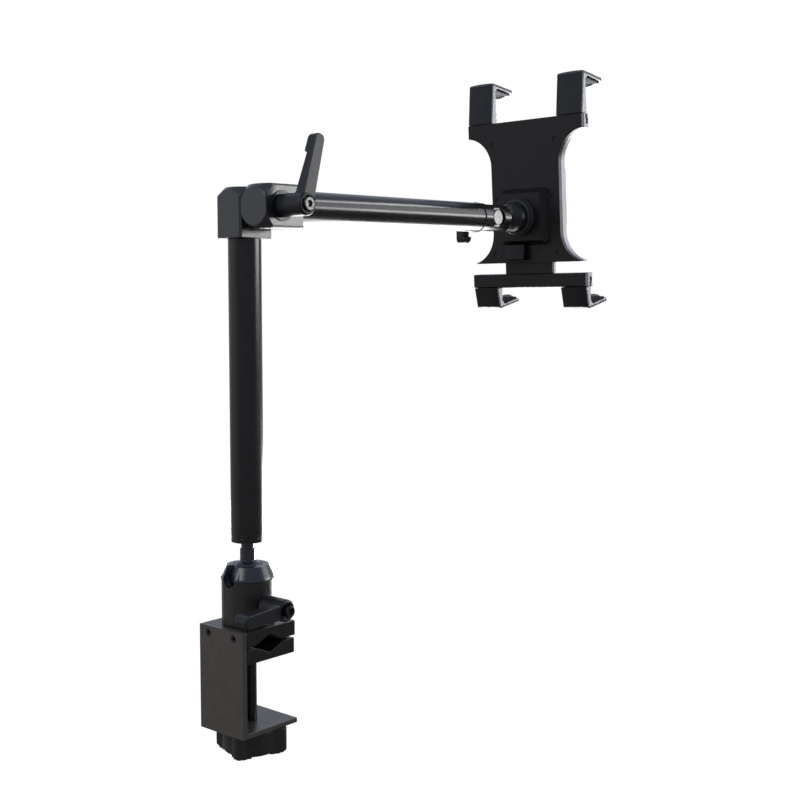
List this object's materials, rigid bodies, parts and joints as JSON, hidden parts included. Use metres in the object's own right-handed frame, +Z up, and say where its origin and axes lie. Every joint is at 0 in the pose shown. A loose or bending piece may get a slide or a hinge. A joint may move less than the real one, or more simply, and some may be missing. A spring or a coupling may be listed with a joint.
{
  "type": "clamp tablet holder",
  "caption": "Jointed metal arm with a V-jaw table clamp, a ball head, a lockable elbow and a tilting, turning cradle whose sliding hooks grip a tablet.",
  "frame": {"origin": "middle of the closed V grip of the table clamp, on the post's axis", "axes": "+Z up along the post, +X along the arm from the clamp towards the cradle, +Y to the left of the arm seen from the clamp"},
  "size_m": [0.4453, 0.1389, 0.6042],
  "materials": {
    "bent_steel": "satin powder coat",
    "jaw_metal": "satin black",
    "black_steel": "blackened steel",
    "bright_steel": "bright",
    "plain_steel": "plain",
    "knob_plastic": "fine matte",
    "lever_metal": "satin black cast zinc",
    "anodised_tube": "glossy black anodised",
    "anodised_block": "satin black anodised",
    "collar_metal": "satin black anodised, turned",
    "seat_plastic": "plain",
    "trim_black": "matte",
    "cover_plastic": "fine matte",
    "hook_cover_plastic": "satin",
    "silver_aluminium": "satin silver anodised",
    "pad_rubber": "matte"
  },
  "bodies": {
    "clamp": {"clamp_frame": "bent_steel", "fixed_jaw": "jaw_metal", "jaw_screws": "black_steel", "head_bolt": "black_steel", "head_body": "anodised_block", "head_collar": "collar_metal", "ball_seat": "seat_plastic"},
    "jaw": {"moving_jaw": "jaw_metal", "jaw_pin": "plain_steel"},
    "screw": {"clamp_screw": "black_steel", "clamp_knob": "knob_plastic", "knob_cap": "knob_plastic"},
    "head_lever": {"head_lever_stud": "plain_steel", "head_lever": "lever_metal", "head_lever_screw": "black_steel"},
    "ball": {"ball_stem": "black_steel", "stem_nut": "plain_steel"},
    "post": {"post_foot": "anodised_block", "post_tube": "anodised_tube", "post_knuckle": "anodised_block", "elbow_axle": "plain_steel", "friction_disc": "seat_plastic"},
    "elbow_lever": {"elbow_lever": "lever_metal", "elbow_lever_screw": "bright_steel"},
    "arm": {"arm_knuckle": "anodised_block", "elbow_washer": "bright_steel", "arm_tube": "anodised_tube", "arm_ring": "trim_black", "arm_fork": "anodised_block", "tilt_bolt": "bright_steel"},
    "tilt_lever": {"tilt_lever": "lever_metal", "tilt_lever_screw": "black_steel"},
    "tongue": {"tilt_tongue": "lever_metal"},
    "cradle": {"swivel_ring": "cover_plastic", "rear_block": "cover_plastic", "swivel_clip": "plain_steel", "rear_cover": "cover_plastic", "cover_screws": "black_steel", "front_plate": "silver_aluminium", "front_pads": "pad_rubber"},
    "release": {"release_tab": "cover_plastic"},
    "lower_slide": {"slide_bar": "silver_aluminium", "slide_cover": "cover_plastic", "lower_rail": "silver_aluminium", "lower_rail_cover": "cover_plastic"},
    "upper_left_hook": {"hook_upper_left": "silver_aluminium", "hook_upper_left_cover": "hook_cover_plastic", "hook_upper_left_pad": "pad_rubber"},
    "upper_right_hook": {"hook_upper_right": "silver_aluminium", "hook_upper_right_cover": "hook_cover_plastic", "hook_upper_right_pad": "pad_rubber"},
    "lower_left_hook": {"hook_lower_left": "silver_aluminium", "hook_lower_left_cover": "hook_cover_plastic", "hook_lower_left_pad": "pad_rubber"},
    "lower_right_hook": {"hook_lower_right": "silver_aluminium", "hook_lower_right_cover": "hook_cover_plastic", "hook_lower_right_pad": "pad_rubber"}
  },
  "joints": [
    {"name": "jaw_slide", "type": "slide", "parent": "clamp", "child": "jaw", "axis": [0, 0, -1], "range_m": [0, 0.05]},
    {"name": "screw_turn", "type": "hinge", "parent": "jaw", "child": "screw", "pos_m": [0.002, 0, -0.05], "axis": [0, 0, -1], "range_deg": [0, 12000]},
    {"name": "head_lock", "type": "hinge", "parent": "clamp", "child": "head_lever", "pos_m": [0, -0.03, 0.0302], "axis": [0, -1, 0], "range_deg": [0, 180]},
    {"name": "ball_tilt", "type": "hinge", "parent": "clamp", "child": "ball", "pos_m": [0, 0, 0.0525], "axis": [0, 1, 0], "range_deg": [-90, 25]},
    {"name": "post_swivel", "type": "hinge", "parent": "ball", "child": "post", "pos_m": [0, 0, 0.09], "axis": [0, 0, 1], "continuous": true},
    {"name": "elbow", "type": "hinge", "parent": "post", "child": "arm", "pos_m": [0, -0.03025, 0.357], "axis": [0, -1, 0], "range_deg": [-45, 180]},
    {"name": "elbow_lock", "type": "hinge", "parent": "post", "child": "elbow_lever", "pos_m": [0, -0.06, 0.357], "axis": [0, -1, 0], "range_deg": [0, 180]},
    {"name": "tilt", "type": "hinge", "parent": "arm", "child": "tongue", "pos_m": [0.29142, -0.03025, 0.36361], "axis": [0, -1, 0], "range_deg": [-85, 85]},
    {"name": "tilt_lock", "type": "hinge", "parent": "arm", "child": "tilt_lever", "pos_m": [0.29142, -0.00525, 0.36361], "axis": [0, 1, 0], "range_deg": [0, 180]},
    {"name": "rotation", "type": "hinge", "parent": "tongue", "child": "cradle", "pos_m": [0.3413, -0.03025, 0.3671], "axis": [0.9976, 0, 0.0698], "continuous": true},
    {"name": "release_press", "type": "slide", "parent": "cradle", "child": "release", "axis": [-0.9976, 0, -0.0698], "range_m": [0, 0.0025], "stiffness_N_per_m": 400},
    {"name": "size_slide", "type": "slide", "parent": "cradle", "child": "lower_slide", "axis": [0.0698, 0, -0.9976], "range_m": [-0.0108, 0.06]},
    {"name": "upper_left_hook_slide", "type": "slide", "parent": "cradle", "child": "upper_left_hook", "axis": [0, -1, 0], "range_m": [0, 0.036]},
    {"name": "upper_right_hook_slide", "type": "slide", "parent": "cradle", "child": "upper_right_hook", "axis": [0, 1, 0], "range_m": [0, 0.036]},
    {"name": "lower_left_hook_slide", "type": "slide", "parent": "lower_slide", "child": "lower_left_hook", "axis": [0, -1, 0], "range_m": [0, 0.036]},
    {"name": "lower_right_hook_slide", "type": "slide", "parent": "lower_slide", "child": "lower_right_hook", "axis": [0, 1, 0], "range_m": [0, 0.036]}
  ],
  "couplings": [
    {"joint": "screw_turn", "follows": "jaw_slide", "rad_per_m": 4188.8}
  ]
}
